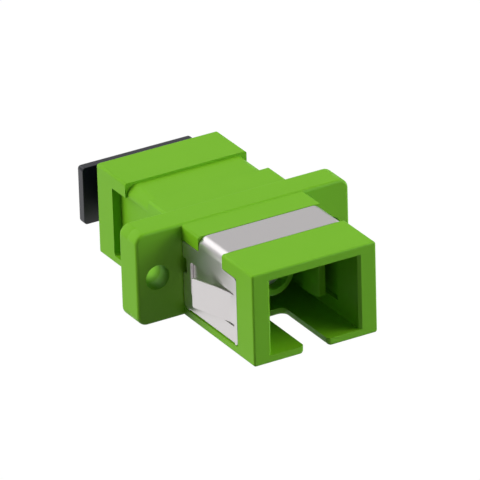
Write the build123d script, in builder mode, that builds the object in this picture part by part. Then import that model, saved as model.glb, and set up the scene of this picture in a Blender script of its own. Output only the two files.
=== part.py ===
"""Simplex fibre optic adapter with a mounting flange, a panel spring clip and a dust cap, in millimetres.

X is the width. Y is the fibre axis: the open port faces -Y and the capped port +Y. +Z is up, away from the
key slots. The origin is on the fibre axis where the two ferrules meet, in the plane where the halves are welded.
"""

import os
from math import asin, cos, degrees, radians, sin

from build123d import *

os.makedirs("parts", exist_ok=True)

# Body and flange
body_width = 12.8
body_height = 9.0
body_length = 28.0
body_edge_radius = 0.25
port_face_radius = 0.2
ear_end = 2.1
flange_thickness = 3.1
flange_rise = 0.1
ear_corner_radius = 1.0
ear_edge_radius = 0.3
mounting_hole_spacing = 18.0
mounting_hole_radius = 1.2

# Ports and their key slots
port_width = 9.1
port_top_wall = 0.85
port_bottom_wall = 0.75
port_lead_in = 0.25
key_slot_width = 2.4
key_slot_length = 7.7
key_slot_end_radius = 0.5
key_slot_mouth_radius = 0.4

# Seat of the spring clip, moulded on both halves
collar_length = 5.3
groove_width = 4.2
pocket_end_wall = 2.85
pocket_top_margin = 1.4
pocket_bottom_margin = 0.8
pocket_depth = 0.85
pocket_corner_radius = 0.3
seat_rib_length = 3.6
seat_rib_width = 0.7

# Spring clip, folded from one sheet
clip_thickness = 0.25
clip_bend_radius = 1.0
clip_edge_gap = 0.08
clip_corner_radius = 0.35
clip_window_near_margin = 0.95
clip_window_top_margin = 1.6
clip_window_bottom_margin = 1.75
clip_bar_width = 1.4
clip_notch_height = 1.45
clip_notch_depth = 0.65
clip_leaf_overlap = 0.5
tongue_length = 4.8
tongue_reach = 1.4
tongue_side_gap = 0.2
tongue_slit_length = 0.45

# Latch inserts, one facing each port
insert_base_width = 10.2
insert_base_height = 8.0
insert_base_thickness = 1.4
insert_clearance = 0.05
insert_edge_radius = 0.3
tube_wall = 0.46
tube_lip_length = 1.15
tube_lip_clearance = 0.2
tube_end_chamfer = 0.15
latch_length = 9.1
latch_height = 4.4
latch_thickness = 0.6
latch_wall_gap = 0.55
hook_length = 2.3
hook_depth = 0.45
hook_ramp_length = 1.0
hook_tip_depth = 0.1
relief_depth = 0.5
relief_side_gap = 0.2
relief_end_gap = 1.1
relief_start = 2.4

# Alignment sleeve, split along its top
sleeve_bore_radius = 1.245
sleeve_wall = 0.355
sleeve_length = 11.4
sleeve_slit = 0.45
sleeve_clearance = 0.04
sleeve_end_gap = 0.05

# Dust cap in the far port
cap_head_width = 12.0
cap_head_height = 5.75
cap_head_thickness = 1.1
cap_head_radius = 0.35
cap_head_drop = 0.35
cap_neck_width = 7.4
cap_neck_height = 4.8
cap_neck_length = 3.45
cap_plug_depth = 7.5
cap_plug_wall = 0.8
cap_plug_floor = 1.0
cap_plug_radius = 0.3
cap_plug_clearance = 0.1
cap_latch_gap = 0.4

flange_width = mounting_hole_spacing + 2 * ear_end
half_length = body_length / 2
half_flange = flange_thickness / 2
port_height = body_height - port_top_wall - port_bottom_wall
port_centre = (port_bottom_wall - port_top_wall) / 2

groove_near = half_length - collar_length
groove_far = groove_near - groove_width
groove_depth = clip_thickness
pocket_near = half_length - pocket_end_wall
pocket_top = body_height / 2 - pocket_top_margin
pocket_bottom = pocket_bottom_margin - body_height / 2
pocket_length = pocket_near - half_flange

sleeve_outer_radius = sleeve_bore_radius + sleeve_wall
sleeve_seat_radius = sleeve_outer_radius + sleeve_clearance
sleeve_seat_depth = sleeve_length / 2 + sleeve_end_gap
tube_outer_radius = sleeve_seat_radius + tube_wall
tube_length = sleeve_seat_depth + tube_lip_length
latch_outside = port_width / 2 - latch_wall_gap
latch_inside = latch_outside - latch_thickness


with BuildPart() as front_housing:
    # Half of the flange, with its holes still to come
    with BuildSketch(Plane.XZ) as flange_section:
        with Locations((0, flange_rise / 2)):
            RectangleRounded(flange_width, body_height + flange_rise, ear_corner_radius)
    extrude(amount=half_flange)
    fillet(faces().sort_by(Axis.Y)[0].edges(), ear_edge_radius)

    # The rectangular body behind the port
    with BuildSketch(Plane.XZ) as body_section:
        RectangleRounded(body_width, body_height, body_edge_radius)
    extrude(amount=half_length)
    fillet(faces().sort_by(Axis.Y)[0].edges(), port_face_radius)

    # The port runs through to a deeper recess, whose shoulder holds the base of the latch insert
    with BuildSketch(Plane.XZ) as port_section:
        with Locations((0, port_centre)):
            Rectangle(port_width, port_height)
    extrude(amount=half_length, mode=Mode.SUBTRACT)
    with BuildSketch(Plane.XZ) as insert_recess:
        Rectangle(insert_base_width + 2 * insert_clearance, insert_base_height + 2 * insert_clearance)
    extrude(amount=insert_base_thickness, mode=Mode.SUBTRACT)
    port_face = faces().sort_by(Axis.Y)[0]
    port_sides = port_face.inner_wires()[0].edges().filter_by(Axis.Z)
    chamfer(port_sides, port_lead_in)

    # Key slot, open at the port face and through the bottom wall
    with BuildSketch(Plane.XY.offset(-body_height / 2)) as key_slot:
        with Locations((0, -half_length)):
            Rectangle(key_slot_width, key_slot_length, align=(Align.CENTER, Align.MIN))
        fillet(key_slot.vertices().group_by(Axis.Y)[-1], key_slot_end_radius)
    extrude(amount=body_height / 2 + port_centre, mode=Mode.SUBTRACT)
    port_face = faces().sort_by(Axis.Y)[0]
    slot_mouth = port_face.edges().filter_by(Axis.Z).sort_by(lambda edge: abs(edge.center().X))[:2]
    fillet(slot_mouth, key_slot_mouth_radius)

    # Groove over the top and down to the side pockets, as deep as the clip is thick
    with BuildSketch(Plane.XZ.offset(groove_far)) as groove_section:
        with Locations((0, pocket_top)):
            Rectangle(body_width, body_height, align=(Align.CENTER, Align.MIN))
        RectangleRounded(
            body_width - 2 * groove_depth,
            body_height - 2 * groove_depth,
            clip_bend_radius,
            mode=Mode.SUBTRACT,
        )
    extrude(amount=groove_width, mode=Mode.SUBTRACT)

    # Side pockets behind the clip's plates, each with a rib that the doubled lower edge of the plate lies on
    for side in (1, -1):
        pocket_plane = Plane.YZ.offset(side * body_width / 2)
        with BuildSketch(pocket_plane) as pocket:
            with Locations((-half_flange, pocket_bottom)):
                Rectangle(pocket_length, pocket_top - pocket_bottom, align=(Align.MAX, Align.MIN))
            fillet(pocket.vertices().group_by(Axis.Y)[0], pocket_corner_radius)
        extrude(amount=-side * pocket_depth, mode=Mode.SUBTRACT)
        with BuildSketch(pocket_plane.offset(-side * pocket_depth)) as seat_rib:
            with Locations((-(groove_near + groove_far) / 2, pocket_bottom)):
                Rectangle(seat_rib_length, seat_rib_width, align=(Align.CENTER, Align.MIN))
        extrude(amount=side * (pocket_depth - 2 * clip_thickness))

    # Reliefs in the port's side walls, where the latch arms spread when a plug goes in
    relief_end = latch_length + relief_end_gap
    for side in (1, -1):
        with BuildSketch(Plane.YZ.offset(side * port_width / 2)) as relief:
            with Locations((-relief_start, 0)):
                Rectangle(
                    relief_end - relief_start,
                    latch_height + 2 * relief_side_gap,
                    align=(Align.MAX, Align.CENTER),
                )
        extrude(amount=side * relief_depth, mode=Mode.SUBTRACT)

    # Mounting holes through the ears
    with BuildSketch(Plane.XZ) as mounting_holes:
        with GridLocations(mounting_hole_spacing, 0, 2, 1):
            Circle(mounting_hole_radius)
    extrude(amount=half_flange, mode=Mode.SUBTRACT)


with BuildPart() as rear_housing:
    mirror(front_housing.part, about=Plane.XZ)


with BuildPart() as front_latch_insert:
    # Base plate, caught between the shoulder of its housing and the other insert
    with BuildSketch(Plane.XZ) as insert_base:
        RectangleRounded(insert_base_width, insert_base_height, insert_edge_radius)
    extrude(amount=insert_base_thickness)

    # Two latch arms with a ramp and a catch at the tip
    with BuildSketch(Plane.XY.offset(-latch_height / 2)) as latch_outline:
        with BuildLine():
            Polyline(
                (latch_outside, 0),
                (latch_outside, -latch_length),
                (latch_inside - hook_tip_depth, -latch_length),
                (latch_inside - hook_depth, hook_ramp_length - latch_length),
                (latch_inside - hook_depth, hook_length - latch_length),
                (latch_inside, hook_length - latch_length),
                (latch_inside, 0),
                close=True,
            )
        make_face()
        mirror(about=Plane.YZ)
    extrude(amount=latch_height)

    # Tube for one half of the sleeve, with a lip that keeps the sleeve in
    with BuildSketch(Plane.XZ) as tube_section:
        Circle(tube_outer_radius)
    extrude(amount=tube_length)
    tube_end = edges().filter_by(GeomType.CIRCLE).sort_by(Axis.Y)[0]
    chamfer(tube_end, tube_end_chamfer)
    with BuildSketch(Plane.XZ) as sleeve_seat:
        Circle(sleeve_seat_radius)
    extrude(amount=sleeve_seat_depth, mode=Mode.SUBTRACT)
    with BuildSketch(Plane.XZ) as ferrule_entry:
        Circle(sleeve_bore_radius + tube_lip_clearance)
    extrude(amount=tube_length, mode=Mode.SUBTRACT)


with BuildPart() as rear_latch_insert:
    mirror(front_latch_insert.part, about=Plane.XZ)


with BuildPart() as alignment_sleeve:
    with BuildSketch(Plane.XZ.offset(-sleeve_length / 2)) as sleeve_section:
        Circle(sleeve_outer_radius)
        Circle(sleeve_bore_radius, mode=Mode.SUBTRACT)
        Rectangle(sleeve_slit, sleeve_outer_radius, align=(Align.CENTER, Align.MIN), mode=Mode.SUBTRACT)
    extrude(amount=sleeve_length)


with BuildPart() as panel_clip:
    strip_near = groove_near - clip_edge_gap
    strip_width = groove_width - 2 * clip_edge_gap
    strip_far = strip_near - strip_width
    plate_near = pocket_near - clip_edge_gap
    plate_far = half_flange + clip_edge_gap
    plate_top = pocket_top - clip_edge_gap
    plate_bottom = pocket_bottom + clip_edge_gap
    bend_start = body_height / 2 - clip_bend_radius

    # Strip over the top, bent down over both corners
    with BuildSketch(Plane.XZ.offset(strip_far)) as strip_section:
        RectangleRounded(body_width, body_height, clip_bend_radius)
        RectangleRounded(
            body_width - 2 * clip_thickness,
            body_height - 2 * clip_thickness,
            clip_bend_radius - clip_thickness,
            mode=Mode.SUBTRACT,
        )
        with Locations((0, plate_top)):
            Rectangle(body_width, body_height, align=(Align.CENTER, Align.MIN), mode=Mode.INTERSECT)
    extrude(amount=strip_width)

    # Side plate with its window, the slits beside the tongue and a notch in the edge next to the flange
    window_near = plate_near - clip_window_near_margin
    window_far = plate_far + clip_bar_width
    window_top = plate_top - clip_window_top_margin
    window_bottom = plate_bottom + clip_window_bottom_margin
    window_middle = (window_top + window_bottom) / 2
    tongue_width = window_top - window_bottom - 2 * tongue_side_gap
    with BuildSketch(Plane.YZ.offset(body_width / 2)) as side_plate:
        with BuildLine():
            Polyline(
                (-plate_near, plate_bottom),
                (-plate_near, plate_top),
                (-strip_near, plate_top),
                (-strip_near, bend_start),
                (-strip_far, bend_start),
                (-strip_far, plate_top),
                (-plate_far, plate_top),
                (-plate_far, plate_bottom),
                close=True,
            )
        make_face()
        strip_roots = side_plate.vertices().filter_by_position(Axis.Y, plate_top, plate_top)
        fillet(strip_roots, clip_corner_radius)
        fillet(side_plate.vertices().group_by(Axis.Y)[0], clip_corner_radius)
        with Locations((-window_far, window_bottom)):
            Rectangle(
                window_near - window_far,
                window_top - window_bottom,
                align=(Align.MAX, Align.MIN),
                mode=Mode.SUBTRACT,
            )
        with Locations((-plate_far, window_top)):
            Rectangle(
                2 * clip_notch_depth,
                clip_notch_height,
                align=(Align.CENTER, Align.MAX),
                mode=Mode.SUBTRACT,
            )
        slit_offset = (tongue_width + tongue_side_gap) / 2
        with Locations((-window_near, window_middle + slit_offset), (-window_near, window_middle - slit_offset)):
            SlotOverall(2 * tongue_slit_length, tongue_side_gap, mode=Mode.SUBTRACT)
    extrude(amount=-clip_thickness)

    # Leaf folded up behind the window from the lower edge of the plate, so that the plate is double there
    with BuildSketch(Plane.YZ.offset(body_width / 2 - clip_thickness)) as backing_leaf:
        with Locations((clip_leaf_overlap - window_far, plate_bottom)):
            Rectangle(
                window_near - window_far + 2 * clip_leaf_overlap,
                window_top - plate_bottom + clip_leaf_overlap,
                align=(Align.MAX, Align.MIN),
            )
    extrude(amount=-clip_thickness)

    # Tongue, bent outwards towards the flange so that the panel is caught between the two
    tongue_angle = degrees(asin(tongue_reach / tongue_length))
    along = (sin(radians(tongue_angle)), cos(radians(tongue_angle)), 0)
    outwards = (cos(radians(tongue_angle)), -sin(radians(tongue_angle)), 0)
    tongue_root = (body_width / 2 - clip_thickness, -window_near, window_middle)
    with BuildSketch(Plane(origin=tongue_root, x_dir=along, z_dir=outwards)) as tongue:
        Rectangle(tongue_length, tongue_width, align=(Align.MIN, Align.CENTER))
    extrude(amount=clip_thickness)
    mirror(about=Plane.YZ)


with BuildPart() as dust_cap:
    head_far = half_length + cap_neck_length + cap_head_thickness
    plug_width = port_width - 2 * cap_plug_clearance
    plug_height = port_height - 2 * cap_plug_clearance
    plug_end = half_length - cap_plug_depth

    # Plate that the fingers pull, and the neck that holds it off the port
    with BuildSketch(Plane.XZ.offset(-head_far)) as head_section:
        with Locations((0, port_centre - cap_head_drop)):
            RectangleRounded(cap_head_width, cap_head_height, cap_head_radius)
    extrude(amount=cap_head_thickness)
    fillet(faces().sort_by(Axis.Y)[-1].edges(), cap_head_radius)
    with BuildSketch(Plane.XZ.offset(cap_head_thickness - head_far)) as neck_section:
        with Locations((0, port_centre)):
            RectangleRounded(cap_neck_width, cap_neck_height, cap_plug_radius)
    extrude(amount=cap_neck_length)

    # Hollow plug, open towards the sleeve, with a notch at each side for the latch arms
    with BuildSketch(Plane.XZ.offset(-half_length)) as plug_section:
        with Locations((0, port_centre)):
            RectangleRounded(plug_width, plug_height, cap_plug_radius)
    extrude(amount=cap_plug_depth)
    with BuildSketch(Plane.XZ.offset(cap_plug_floor - half_length)) as plug_hollow:
        with Locations((0, port_centre)):
            Rectangle(plug_width - 2 * cap_plug_wall, plug_height - 2 * cap_plug_wall)
    extrude(amount=cap_plug_depth - cap_plug_floor, mode=Mode.SUBTRACT)
    notch_length = latch_length + cap_latch_gap - plug_end
    with BuildSketch(Plane.XZ.offset(-plug_end)) as latch_notches:
        Rectangle(plug_width, latch_height + 2 * cap_latch_gap)
    extrude(amount=-notch_length, mode=Mode.SUBTRACT)


front_housing.part.label = "front_housing"
rear_housing.part.label = "rear_housing"
front_latch_insert.part.label = "front_latch_insert"
rear_latch_insert.part.label = "rear_latch_insert"
alignment_sleeve.part.label = "alignment_sleeve"
panel_clip.part.label = "panel_clip"
dust_cap.part.label = "dust_cap"

export_step(front_housing.part, "parts/front_housing.step")
export_step(rear_housing.part, "parts/rear_housing.step")
export_step(front_latch_insert.part, "parts/front_latch_insert.step")
export_step(rear_latch_insert.part, "parts/rear_latch_insert.step")
export_step(alignment_sleeve.part, "parts/alignment_sleeve.step")
export_step(panel_clip.part, "parts/panel_clip.step")
export_step(dust_cap.part, "parts/dust_cap.step")
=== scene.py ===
"""A green simplex fibre optic adapter with its spring clip and dust cap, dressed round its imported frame.

Everything is in metres, with the fibre axis along Y, the open port towards -Y and +Z up.
"""

import math

import bmesh
import bpy
from mathutils import Matrix, Vector


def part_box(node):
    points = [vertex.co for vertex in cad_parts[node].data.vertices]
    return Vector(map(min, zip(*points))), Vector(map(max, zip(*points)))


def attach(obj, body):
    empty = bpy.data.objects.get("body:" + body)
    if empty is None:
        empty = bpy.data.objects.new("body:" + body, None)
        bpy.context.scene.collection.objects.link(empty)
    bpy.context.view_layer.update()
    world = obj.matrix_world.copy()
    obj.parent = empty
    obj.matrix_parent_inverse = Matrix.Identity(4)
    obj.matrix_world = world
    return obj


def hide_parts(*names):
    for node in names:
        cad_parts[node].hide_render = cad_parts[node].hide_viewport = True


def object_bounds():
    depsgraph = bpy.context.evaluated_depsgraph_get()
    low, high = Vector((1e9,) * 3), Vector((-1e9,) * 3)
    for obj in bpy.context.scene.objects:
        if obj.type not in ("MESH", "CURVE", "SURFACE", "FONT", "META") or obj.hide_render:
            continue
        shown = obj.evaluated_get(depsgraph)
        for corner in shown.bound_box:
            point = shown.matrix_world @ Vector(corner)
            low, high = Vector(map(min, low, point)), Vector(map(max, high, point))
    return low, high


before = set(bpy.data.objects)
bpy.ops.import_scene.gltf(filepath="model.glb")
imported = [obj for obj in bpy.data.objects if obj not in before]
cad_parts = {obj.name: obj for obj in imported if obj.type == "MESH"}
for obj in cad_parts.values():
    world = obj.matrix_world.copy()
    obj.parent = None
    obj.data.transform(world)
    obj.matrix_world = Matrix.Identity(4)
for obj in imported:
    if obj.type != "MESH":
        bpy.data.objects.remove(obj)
cad_low, cad_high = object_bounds()
MM = 0.001

# Camera, a long lens that looks down on the open port from the front left, as in the photograph.
# The distance, the lens and the small roll keep the adapter as large and as level as it is there.
camera_azimuth = math.radians(-29.70)
camera_elevation = math.radians(25.95)
camera_roll = math.radians(-1.67)
camera_distance = 611.0 * MM
aim_right = 0.403 * MM
aim_up = 0.615 * MM
camera_data = bpy.data.cameras.new("camera")
camera_data.sensor_width = 36.0
camera_data.lens = 507.6
camera_data.clip_start = 10 * MM
camera = bpy.data.objects.new("camera", camera_data)
bpy.context.scene.collection.objects.link(camera)
bpy.context.scene.camera = camera
camera_turn = (
    Matrix.Rotation(camera_azimuth, 4, "Z")
    @ Matrix.Rotation(math.pi / 2 - camera_elevation, 4, "X")
    @ Matrix.Rotation(camera_roll, 4, "Z")
)
camera.matrix_world = camera_turn @ Matrix.Translation((aim_right, aim_up, camera_distance))


# Studio, a white paper floor with four soft round lamps and a faint white surround.
# The key lamp on the left lights the top and the left side alike. Weaker ones, two of them cool, fill in.
def linear(hex_colour):
    """An sRGB hex colour such as "#7ab834" as linear red, green and blue, with a solid alpha."""
    parts = [int(hex_colour[i : i + 2], 16) / 255 for i in (1, 3, 5)]
    return [c / 12.92 if c <= 0.04045 else ((c + 0.055) / 1.055) ** 2.4 for c in parts] + [1.0]


def add_node(tree, kind, settings=None, links=None, **values):
    """Adds a shader node with its settings, its socket values and its incoming links."""
    node = tree.nodes.new(kind)
    for key, value in (settings or {}).items():
        setattr(node, key, value)
    for key, value in values.items():
        node.inputs[key.replace("_", " ")].default_value = value
    for key, source in (links or {}).items():
        tree.links.new(source, node.inputs[key])
    return node


def new_material(name):
    """An empty node material and its tree."""
    material = bpy.data.materials.new(name)
    material.use_nodes = True
    material.node_tree.nodes.clear()
    return material, material.node_tree


floor_reach = 3.0
floor_gap = 0.01 * MM
lamp_distance = 0.5
lamps = (
    ("key_lamp", (-1.0, 0.65, 0.6), 0.45, 2.75, "#ffffff"),
    ("top_lamp", (1.1, -0.3, 1.0), 0.35, 1.55, "#ffffff"),
    ("fill_lamp", (1.0, -1.0, 0.15), 0.4, 2.1, "#cfe0ff"),
    ("front_lamp", (-0.6, -1.0, 0.3), 0.45, 0.14, "#cfe0ff"),
)
surround_strength = 0.05
softbox_direction = (-0.25, 1.0, 0.75)
softbox_rim = 0.9
softbox_middle = 0.98
mirrored_strength = 0.62
softbox_strength = 1.1
paper_glow = 1.06
paper_glow_share = 0.95
white = linear("#ffffff")

studio = bmesh.new()
bmesh.ops.create_grid(studio, x_segments=1, y_segments=1, size=floor_reach)
bmesh.ops.translate(studio, verts=studio.verts, vec=(0, 0, cad_low[2] - floor_gap))
floor_mesh = bpy.data.meshes.new("floor")
studio.to_mesh(floor_mesh)
studio.free()
floor = bpy.data.objects.new("floor", floor_mesh)
bpy.context.scene.collection.objects.link(floor)

# Matt white paper. The camera and the steel's mirror see it as plain white where no shadow falls on it.
paper, tree = new_material("matt_white_paper")
diffuse = add_node(tree, "ShaderNodeBsdfDiffuse", Color=linear("#404040"))
glow = add_node(tree, "ShaderNodeEmission", Color=white, Strength=paper_glow)
rays = add_node(tree, "ShaderNodeLightPath")
seen = add_node(
    tree,
    "ShaderNodeMath",
    {"operation": "MAXIMUM"},
    {0: rays.outputs["Is Camera Ray"], 1: rays.outputs["Is Glossy Ray"]},
)
share = add_node(tree, "ShaderNodeMath", {"operation": "MULTIPLY"}, {0: seen.outputs[0]})
share.inputs[1].default_value = paper_glow_share
mixed = add_node(
    tree,
    "ShaderNodeMixShader",
    links={"Fac": share.outputs[0], 1: diffuse.outputs[0], 2: glow.outputs[0]},
)
add_node(tree, "ShaderNodeOutputMaterial", links={"Surface": mixed.outputs[0]})
floor_mesh.materials.append(paper)

world = bpy.data.worlds.new("studio_surround")
bpy.context.scene.world = world
world.use_nodes = True
world.node_tree.nodes.clear()
tree = world.node_tree
rays = add_node(tree, "ShaderNodeLightPath")
facing = add_node(tree, "ShaderNodeTexCoord")
towards_softbox = add_node(
    tree, "ShaderNodeVectorMath", {"operation": "DOT_PRODUCT"}, {0: facing.outputs["Generated"]}
)
towards_softbox.inputs[1].default_value = Vector(softbox_direction).normalized()
softbox = add_node(
    tree,
    "ShaderNodeMapRange",
    {"interpolation_type": "SMOOTHSTEP"},
    {"Value": towards_softbox.outputs["Value"]},
    From_Min=softbox_rim,
    From_Max=softbox_middle,
    To_Min=mirrored_strength,
    To_Max=mirrored_strength + softbox_strength,
)
backdrop = add_node(
    tree,
    "ShaderNodeMath",
    {"operation": "MAXIMUM"},
    {0: rays.outputs["Is Camera Ray"], 1: rays.outputs["Is Transmission Ray"]},
)
mirrored = add_node(
    tree,
    "ShaderNodeMapRange",
    links={"Value": rays.outputs["Is Glossy Ray"], "To Max": softbox.outputs[0]},
    To_Min=surround_strength,
)
level = add_node(
    tree,
    "ShaderNodeMapRange",
    links={"Value": backdrop.outputs[0], "To Min": mirrored.outputs[0]},
    To_Max=1.0,
)
surround = add_node(tree, "ShaderNodeBackground", links={"Strength": level.outputs[0]}, Color=white)
add_node(tree, "ShaderNodeOutputWorld", links={"Surface": surround.outputs[0]})

for name, direction, size, watts, colour in lamps:
    lamp_data = bpy.data.lights.new(name, "AREA")
    lamp_data.shape = "DISK"
    lamp_data.size = size
    lamp_data.energy = watts
    lamp_data.color = linear(colour)[:3]
    lamp = bpy.data.objects.new(name, lamp_data)
    lamp.location = Vector(direction).normalized() * lamp_distance
    lamp.rotation_euler = Vector(direction).to_track_quat("Z", "Y").to_euler()
    lamp.visible_glossy = False
    bpy.context.scene.collection.objects.link(lamp)

bpy.context.scene.view_settings.view_transform = "Standard"


# Housing halves, each injection moulded in green PBT with half of the flange, and welded at the flange.
# The mould leaves satin faces and rounded edges, so copies of the frame's halves get their edges softened.
mould_edge_radius = 0.09 * MM
sharp_from = math.radians(35)
smooth_below = math.radians(40)
flat_within = math.radians(0.5)
weld_distance = 0.5e-6


def finish_piece(bm, name, body, material):
    """Turns a finished bmesh into a smooth-shaded piece that rides on a body."""
    mesh = bpy.data.meshes.new(name)
    bm.to_mesh(mesh)
    bm.free()
    mesh.polygons.foreach_set("use_smooth", [True] * len(mesh.polygons))
    mesh.set_sharp_from_angle(angle=smooth_below)
    mesh.materials.append(material)
    piece = bpy.data.objects.new(name, mesh)
    bpy.context.scene.collection.objects.link(piece)
    weights = piece.modifiers.new("even_shading", "WEIGHTED_NORMAL")
    weights.keep_sharp = True
    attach(piece, body)
    return piece


def softened_copy(node, edge_radius):
    """A copy of a CAD node with flat faces made whole again and its sharp edges rounded."""
    bm = bmesh.new()
    bm.from_mesh(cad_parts[node].data)
    bmesh.ops.remove_doubles(bm, verts=bm.verts, dist=weld_distance)
    bmesh.ops.dissolve_limit(bm, angle_limit=flat_within, verts=bm.verts, edges=bm.edges)
    sharp = [e for e in bm.edges if len(e.link_faces) == 2 and e.calc_face_angle() > sharp_from]
    bmesh.ops.bevel(
        bm,
        geom=sharp,
        offset=edge_radius,
        offset_type="OFFSET",
        segments=3,
        profile=0.5,
        affect="EDGES",
        material=-1,
        clamp_overlap=True,
    )
    return bm


# Green PBT, dyed right through: an even satin colour with the fine spark-eroded grain of the mould,
# which is drawn coarser than the real grain.
green_plastic, tree = new_material("moulded_green_pbt")
place = add_node(tree, "ShaderNodeTexCoord")
grain = add_node(
    tree, "ShaderNodeTexNoise", links={"Vector": place.outputs["Object"]}, Scale=1 / (0.10 * MM), Detail=3.0
)
cloud = add_node(
    tree, "ShaderNodeTexNoise", links={"Vector": place.outputs["Object"]}, Scale=1 / (3.0 * MM), Detail=2.0
)
tint = add_node(tree, "ShaderNodeMix", {"data_type": "RGBA"}, {0: cloud.outputs["Fac"]})
tint.inputs[6].default_value = linear("#74b719")
tint.inputs[7].default_value = linear("#78ba1e")
satin = add_node(
    tree, "ShaderNodeMapRange", links={"Value": grain.outputs["Fac"]}, To_Min=0.46, To_Max=0.60
)
relief = add_node(
    tree, "ShaderNodeBump", links={"Height": grain.outputs["Fac"]}, Strength=0.12, Distance=0.01 * MM
)
plastic = add_node(
    tree,
    "ShaderNodeBsdfPrincipled",
    links={"Base Color": tint.outputs[2], "Roughness": satin.outputs[0], "Normal": relief.outputs[0]},
    IOR=1.5,
    Specular_IOR_Level=0.4,
)
add_node(tree, "ShaderNodeOutputMaterial", links={"Surface": plastic.outputs[0]})

for half in ("front_housing", "rear_housing"):
    bm = softened_copy(half, mould_edge_radius)
    shell = finish_piece(bm, half + "_shell", "adapter", green_plastic)
    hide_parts(half)

# Latch inserts, moulded in the same green PBT and caught between the welded halves.
# Each has a base plate, the tube for half of the sleeve and two arms that hook behind a plug's shoulders.
insert_edge_radius = 0.06 * MM
for insert in ("front_latch_insert", "rear_latch_insert"):
    bm = softened_copy(insert, insert_edge_radius)
    moulding = finish_piece(bm, insert + "_moulding", "adapter", green_plastic)
    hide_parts(insert)


# Alignment sleeve, a ground zirconia tube slit along its top. It lies loose in the inserts' two tubes
# and centres the two ferrules on each other.
sleeve_low, sleeve_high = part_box("alignment_sleeve")
sleeve_radius = sleeve_high[0]
sleeve_bore = 1.245 * MM
sleeve_slit = 0.45 * MM
sleeve_round = 0.04 * MM
sleeve_sides = 96

bm = bmesh.new()
slit_half_angle = math.asin(sleeve_slit / 2 / sleeve_radius)
slit_x = math.sin(slit_half_angle)
slit_z = math.cos(slit_half_angle)
wall_low = bm.verts.new((slit_x * sleeve_bore, sleeve_low[1], slit_z * sleeve_bore))
wall_high = bm.verts.new((slit_x * sleeve_radius, sleeve_low[1], slit_z * sleeve_radius))
wall_edge = bm.edges.new((wall_low, wall_high))
bmesh.ops.spin(
    bm,
    geom=[wall_edge],
    axis=(0, 1, 0),
    cent=(0, 0, 0),
    dvec=(0, 0, 0),
    angle=2 * (math.pi - slit_half_angle),
    steps=sleeve_sides,
    use_merge=False,
)
end_ring = bmesh.ops.extrude_face_region(bm, geom=bm.faces[:])
moved = [v for v in end_ring["geom"] if isinstance(v, bmesh.types.BMVert)]
bmesh.ops.translate(bm, verts=moved, vec=(0, sleeve_high[1] - sleeve_low[1], 0))
bmesh.ops.recalc_face_normals(bm, faces=bm.faces)
rims = [e for e in bm.edges if len(e.link_faces) == 2 and e.calc_face_angle() > sharp_from]
bmesh.ops.bevel(
    bm,
    geom=rims,
    offset=sleeve_round,
    offset_type="OFFSET",
    segments=2,
    profile=0.5,
    affect="EDGES",
    material=-1,
)

# Zirconia ceramic, ground and lapped: ivory white, dense and glossy, with faint grinding rings.
zirconia, tree = new_material("lapped_zirconia")
place = add_node(tree, "ShaderNodeTexCoord")
rings = add_node(
    tree,
    "ShaderNodeTexWave",
    {"bands_direction": "Y"},
    {"Vector": place.outputs["Object"]},
    Scale=1 / (2.0 * MM),
    Distortion=2.0,
)
polish = add_node(tree, "ShaderNodeMapRange", links={"Value": rings.outputs["Fac"]}, To_Min=0.12, To_Max=0.2)
ceramic = add_node(
    tree,
    "ShaderNodeBsdfPrincipled",
    links={"Roughness": polish.outputs[0]},
    Base_Color=linear("#efe9dc"),
    IOR=2.1,
    Subsurface_Weight=0.2,
    Subsurface_Scale=0.5 * MM,
)
add_node(tree, "ShaderNodeOutputMaterial", links={"Surface": ceramic.outputs[0]})
sleeve = finish_piece(bm, "split_sleeve", "adapter", zirconia)
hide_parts("alignment_sleeve")


# Panel clip, blanked and folded from one strip of stainless spring sheet, lying in the near half's groove.
# A tongue cut out of each side plate leans out to trap the panel against the flange, and a leaf folded in
# under each plate doubles it behind the window.
clip_low, clip_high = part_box("panel_clip")
sheet = 0.25 * MM
side_x = 6.4 * MM
strip_near = -8.62 * MM
strip_far = -4.58 * MM
plate_near = clip_low[1]
plate_far = clip_high[1]
plate_bottom = clip_low[2]
plate_top = 3.02 * MM
bend_radius = 1.0 * MM
bend_start = clip_high[2] - bend_radius
window_near = plate_near + 0.95 * MM
window_far = plate_far - 1.4 * MM
window_top = plate_top - 1.6 * MM
window_bottom = plate_bottom + 1.75 * MM
notch_bottom = window_top - 1.45 * MM
notch_end = plate_far - 0.65 * MM
slit = 0.2 * MM
slit_end = window_near - 0.45 * MM
tongue_top = window_top - slit
tongue_bottom = window_bottom + slit
tongue_middle = (tongue_top + tongue_bottom) / 2
tongue_length = 4.8 * MM
tongue_reach = 1.4 * MM
tongue_angle = math.asin(tongue_reach / tongue_length)
tongue_bend = 1.2 * MM
leaf_overlap = 0.5 * MM
leaf_near = window_near - leaf_overlap
leaf_far = window_far + leaf_overlap
leaf_top = window_top + leaf_overlap
fold_radius = sheet + 0.005 * MM
fold_start = plate_bottom + fold_radius
corner_round = 0.35 * MM
slit_round = 0.09 * MM
tip_round = 0.2 * MM
edge_break = 0.03 * MM

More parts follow.
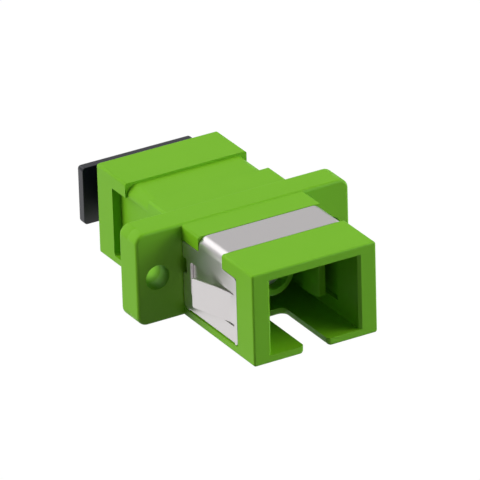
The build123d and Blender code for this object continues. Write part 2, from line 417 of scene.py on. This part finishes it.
bm = bmesh.new()
upper = [
    (plate_near, tongue_middle, 0),
    (plate_near, plate_top, corner_round),
    (strip_near, plate_top, corner_round),
    (strip_near, bend_start, 0),
    (strip_far, bend_start, 0),
    (strip_far, plate_top, corner_round),
    (plate_far, plate_top, tip_round),
    (plate_far, window_top, tip_round),
    (notch_end, window_top, tip_round),
    (notch_end, notch_bottom, 0),
    (window_far, notch_bottom, 0),
    (window_far, window_top, tip_round),
    (slit_end, window_top, slit_round),
    (slit_end, tongue_top, slit_round),
    (window_near, tongue_top, 0),
    (window_near, tongue_bottom, 0),
]
lower = [
    (slit_end, tongue_bottom, slit_round),
    (slit_end, window_bottom, slit_round),
    (window_far, window_bottom, tip_round),
    (plate_far, notch_bottom, tip_round),
    (plate_far, plate_bottom, 2 * corner_round),
    (leaf_far, plate_bottom, 0),
    (leaf_far, fold_start, 0),
    (leaf_near, fold_start, 0),
    (leaf_near, plate_bottom, 0),
    (plate_near, plate_bottom, corner_round),
]
outline = upper + lower
corners = [bm.verts.new((side_x, y, z)) for y, z, _ in outline]
corner_at = {(y, z): vert for (y, z, _), vert in zip(outline, corners)}
upper_corners = corners[: len(upper)]
lower_corners = corners[len(upper) :]
window_end = lower.index((window_far, window_bottom, tip_round)) + 1
near_cut = (corner_at[plate_near, tongue_middle], corner_at[window_near, tongue_bottom])
far_cut = (corner_at[window_far, notch_bottom], corner_at[notch_end, notch_bottom])
bm.faces.new(upper_corners)
bm.faces.new([*near_cut, *lower_corners[:window_end], *far_cut, *lower_corners[window_end:]])
bend_line = bm.edges.get((corner_at[strip_near, bend_start], corner_at[strip_far, bend_start]))
tongue_line = bm.edges.get((corner_at[window_near, tongue_top], corner_at[window_near, tongue_bottom]))
fold_line = bm.edges.get((corner_at[leaf_far, fold_start], corner_at[leaf_near, fold_start]))

# The leaf folds in under the lower edge and runs up behind the window
folded = bmesh.ops.spin(
    bm,
    geom=[fold_line],
    axis=(0, 1, 0),
    cent=(side_x - fold_radius, 0, fold_start),
    dvec=(0, 0, 0),
    angle=math.pi,
    steps=8,
    use_merge=False,
)
fold_end = [e for e in folded["geom_last"] if isinstance(e, bmesh.types.BMEdge)]
leaf = bmesh.ops.extrude_edge_only(bm, edges=fold_end)
leaf_edge = [v for v in leaf["geom"] if isinstance(v, bmesh.types.BMVert)]
bmesh.ops.translate(bm, verts=leaf_edge, vec=(0, 0, leaf_top - fold_start))

# The strip bends over the corner and runs to the middle of the top
bent = bmesh.ops.spin(
    bm,
    geom=[bend_line],
    axis=(0, 1, 0),
    cent=(side_x - bend_radius, 0, bend_start),
    dvec=(0, 0, 0),
    angle=-math.pi / 2,
    steps=10,
    use_merge=False,
)
bend_end = [e for e in bent["geom_last"] if isinstance(e, bmesh.types.BMEdge)]
middle = bmesh.ops.extrude_edge_only(bm, edges=bend_end)
for vert in [v for v in middle["geom"] if isinstance(v, bmesh.types.BMVert)]:
    vert.co.x = 0

# The tongue leaves the plate in a soft bend and then runs straight
bent = bmesh.ops.spin(
    bm,
    geom=[tongue_line],
    axis=(0, 0, 1),
    cent=(side_x + tongue_bend, window_near, 0),
    dvec=(0, 0, 0),
    angle=-tongue_angle,
    steps=5,
    use_merge=False,
)
tongue_edge = [e for e in bent["geom_last"] if isinstance(e, bmesh.types.BMEdge)]
tip = bmesh.ops.extrude_edge_only(bm, edges=tongue_edge)
tip_corners = [v for v in tip["geom"] if isinstance(v, bmesh.types.BMVert)]
straight = tongue_length - tongue_bend * tongue_angle
bmesh.ops.translate(
    bm,
    verts=tip_corners,
    vec=(math.sin(tongue_angle) * straight, math.cos(tongue_angle) * straight, 0),
)
for radius in (slit_round, tip_round, corner_round, 2 * corner_round):
    rounded = [vert for vert, point in zip(corners, outline) if vert.is_valid and point[2] == radius]
    if radius == tip_round:
        rounded += tip_corners
    bmesh.ops.bevel(
        bm,
        geom=rounded,
        offset=radius,
        offset_type="OFFSET",
        segments=5,
        profile=0.5,
        affect="VERTICES",
        material=-1,
    )
bmesh.ops.mirror(bm, geom=bm.verts[:] + bm.edges[:] + bm.faces[:], axis="X", merge_dist=weld_distance)
bmesh.ops.remove_doubles(bm, verts=bm.verts, dist=weld_distance)
bmesh.ops.recalc_face_normals(bm, faces=bm.faces)

# Cold-rolled stainless sheet, stamped and sprung: a neutral mirror, a little wavy, blurred by rolling lines
# along the strip that are drawn coarser than the real ones.
stainless, tree = new_material("rolled_stainless_sheet")
place = add_node(tree, "ShaderNodeTexCoord")
stretch = add_node(
    tree, "ShaderNodeMapping", links={"Vector": place.outputs["Object"]}, Scale=(0.05, 1.0, 0.05)
)
lines = add_node(
    tree, "ShaderNodeTexNoise", links={"Vector": stretch.outputs[0]}, Scale=1 / (0.25 * MM), Detail=2.0
)
patches = add_node(
    tree, "ShaderNodeTexNoise", links={"Vector": place.outputs["Object"]}, Scale=1 / (1.5 * MM), Detail=2.0
)
blur = add_node(
    tree, "ShaderNodeMapRange", links={"Value": patches.outputs["Fac"]}, To_Min=0.26, To_Max=0.34
)
waves = add_node(
    tree, "ShaderNodeTexNoise", links={"Vector": place.outputs["Object"]}, Scale=1 / (3.0 * MM), Detail=0.0
)
sprung = add_node(
    tree, "ShaderNodeBump", links={"Height": waves.outputs["Fac"]}, Strength=0.5, Distance=0.1 * MM
)
rolled = add_node(
    tree,
    "ShaderNodeBump",
    links={"Height": lines.outputs["Fac"], "Normal": sprung.outputs[0]},
    Strength=0.04,
    Distance=0.003 * MM,
)
steel = add_node(
    tree,
    "ShaderNodeBsdfPrincipled",
    links={"Roughness": blur.outputs[0], "Normal": rolled.outputs[0]},
    Base_Color=linear("#dad6d6"),
    Metallic=0.88,
)
add_node(tree, "ShaderNodeOutputMaterial", links={"Surface": steel.outputs[0]})
clip = finish_piece(bm, "folded_clip", "adapter", stainless)
gauge = clip.modifiers.new("sheet_gauge", "SOLIDIFY")
gauge.thickness = sheet
gauge.offset = -1
gauge.use_even_offset = True
deburred = clip.modifiers.new("deburred_edges", "BEVEL")
deburred.width = edge_break
deburred.segments = 2
deburred.limit_method = "ANGLE"
deburred.angle_limit = sharp_from
clip.modifiers.move(clip.modifiers.find("even_shading"), len(clip.modifiers) - 1)
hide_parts("panel_clip")


# Dust cap, moulded in one piece of black LDPE: a plate for the fingers, a neck and a hollow plug.
# The plug fills the far port and is held there by its fit alone.
cap_edge_radius = 0.2 * MM
bm = softened_copy("dust_cap", cap_edge_radius)

# Black polyethylene: nearly black, waxy and satin, with a broad soft sheen at a glance along the surface.
black_plastic, tree = new_material("moulded_black_polyethylene")
place = add_node(tree, "ShaderNodeTexCoord")
grain = add_node(
    tree, "ShaderNodeTexNoise", links={"Vector": place.outputs["Object"]}, Scale=1 / (0.12 * MM), Detail=3.0
)
satin = add_node(tree, "ShaderNodeMapRange", links={"Value": grain.outputs["Fac"]}, To_Min=0.30, To_Max=0.42)
relief = add_node(
    tree, "ShaderNodeBump", links={"Height": grain.outputs["Fac"]}, Strength=0.1, Distance=0.01 * MM
)
waxy = add_node(
    tree,
    "ShaderNodeBsdfPrincipled",
    links={"Roughness": satin.outputs[0], "Normal": relief.outputs[0]},
    Base_Color=linear("#090b18"),
    IOR=1.52,
)
add_node(tree, "ShaderNodeOutputMaterial", links={"Surface": waxy.outputs[0]})
cap = finish_piece(bm, "dust_cap_moulding", "cap", black_plastic)
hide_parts("dust_cap")
